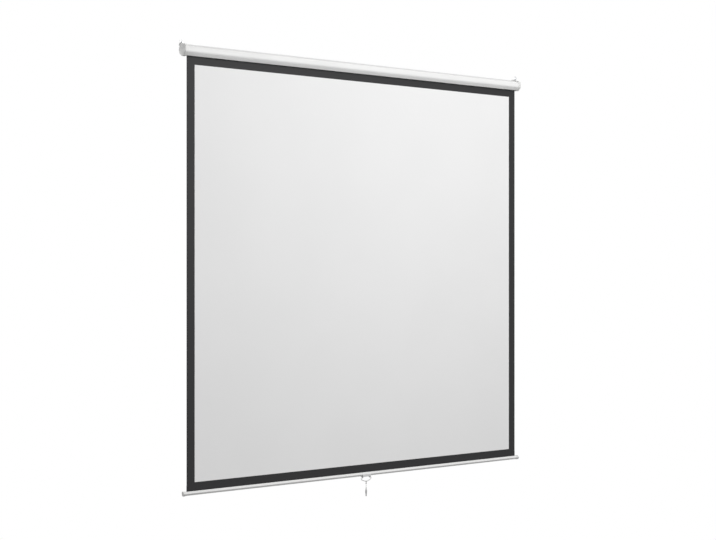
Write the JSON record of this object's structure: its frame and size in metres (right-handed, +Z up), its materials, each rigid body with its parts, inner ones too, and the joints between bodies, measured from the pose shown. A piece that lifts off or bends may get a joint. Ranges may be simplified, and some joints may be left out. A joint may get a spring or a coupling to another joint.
{
  "type": "projection screen",
  "caption": "Pull-down projection screen: white cloth with a black border on a self-locking spring roller in a slim casing, with a bottom bar, loop handle and pull cord.",
  "frame": {"origin": "middle of the casing's flat mounting rail, which lies on the wall", "axes": "+X to the right seen from the front, +Y into the wall, +Z up"},
  "size_m": [2.0554, 0.069, 2.1987],
  "materials": {
    "casing_enamel": "satin white enamel",
    "bar_enamel": "satin white enamel",
    "cap_plastic": "fine matt grain, off-white",
    "zinc_plate": "dull zinc",
    "ring_wire": "bright zinc wire",
    "zinc_screw": "bright zinc",
    "black_screw": "black zinc",
    "bright_steel": "drawn steel",
    "spring_steel": "oiled spring wire",
    "nylon": "natural nylon",
    "matt_cloth": "matt white coated cloth",
    "black_coating": "matt black coating",
    "handle_plastic": "smooth white plastic",
    "white_cord": "braided white cord",
    "toggle_plastic": "pale grey plastic"
  },
  "bodies": {
    "housing": {"casing": "casing_enamel", "end_cap_left": "cap_plastic", "end_cap_right": "cap_plastic", "hanger_plate_left": "zinc_plate", "hanger_plate_right": "zinc_plate", "cap_screw_left_top": "black_screw", "cap_screw_left_front": "zinc_screw", "cap_screw_right_top": "black_screw", "cap_screw_right_front": "zinc_screw", "spindle": "bright_steel", "ratchet_collar": "bright_steel", "spindle_spacer": "nylon", "spring_anchor": "nylon", "lift_spring": "spring_steel", "idle_pin": "bright_steel", "idle_spacer": "nylon", "screen_cloth": "matt_cloth", "black_border": "black_coating"},
    "roller": {"roller_tube": "bright_steel", "spring_plug": "nylon", "idle_plug": "nylon", "pawl_pin_a": "zinc_screw", "pawl_pin_b": "zinc_screw", "cloth_turns": "matt_cloth"},
    "pawl_top": {"pawl_a": "bright_steel"},
    "pawl_bottom": {"pawl_b": "bright_steel"},
    "ring_left": {"hanging_ring_left": "ring_wire"},
    "ring_right": {"hanging_ring_right": "ring_wire"},
    "weight_bar": {"bottom_bar": "bar_enamel", "bar_cap_left": "cap_plastic", "bar_cap_right": "cap_plastic", "hem_rod": "nylon", "handle_bracket": "handle_plastic", "bracket_rivet_left": "zinc_screw", "bracket_rivet_right": "zinc_screw"},
    "handle": {"pull_handle": "handle_plastic"},
    "pull": {"cord_knot": "white_cord", "pull_cord": "white_cord", "pull_toggle": "toggle_plastic"}
  },
  "joints": [
    {"name": "screen_travel", "type": "slide", "parent": "housing", "child": "weight_bar", "axis": [0, 0, 1], "range_m": [0, 1.995], "deforming": ["screen_cloth", "black_border"]},
    {"name": "roller_spin", "type": "hinge", "parent": "housing", "child": "roller", "pos_m": [0, -0.02448, -0.0095], "axis": [1, 0, 0], "range_deg": [-6700, 0]},
    {"name": "pawl_top_swing", "type": "hinge", "parent": "roller", "child": "pawl_top", "pos_m": [-1.0068, -0.02448, 0.0003], "axis": [1, 0, 0], "range_deg": [-20, 25]},
    {"name": "pawl_bottom_swing", "type": "hinge", "parent": "roller", "child": "pawl_bottom", "pos_m": [-1.0068, -0.02448, -0.0193], "axis": [1, 0, 0], "range_deg": [-20, 25]},
    {"name": "ring_left_swing", "type": "hinge", "parent": "housing", "child": "ring_left", "pos_m": [-1.01725, -0.0245, 0.02254], "axis": [1, 0, 0], "range_deg": [-70, 100]},
    {"name": "ring_right_swing", "type": "hinge", "parent": "housing", "child": "ring_right", "pos_m": [1.01725, -0.0245, 0.02254], "axis": [1, 0, 0], "range_deg": [-70, 100]},
    {"name": "handle_swing", "type": "hinge", "parent": "weight_bar", "child": "handle", "pos_m": [0, -0.048, -2.064], "axis": [1, 0, 0], "range_deg": [-80, 60]},
    {"name": "cord_swing", "type": "hinge", "parent": "handle", "child": "pull", "pos_m": [0, -0.048, -2.086], "axis": [1, 0, 0], "range_deg": [-70, 70]}
  ],
  "couplings": [
    {"joint": "roller_spin", "follows": "screen_travel", "rad_per_m": -58.5}
  ]
}
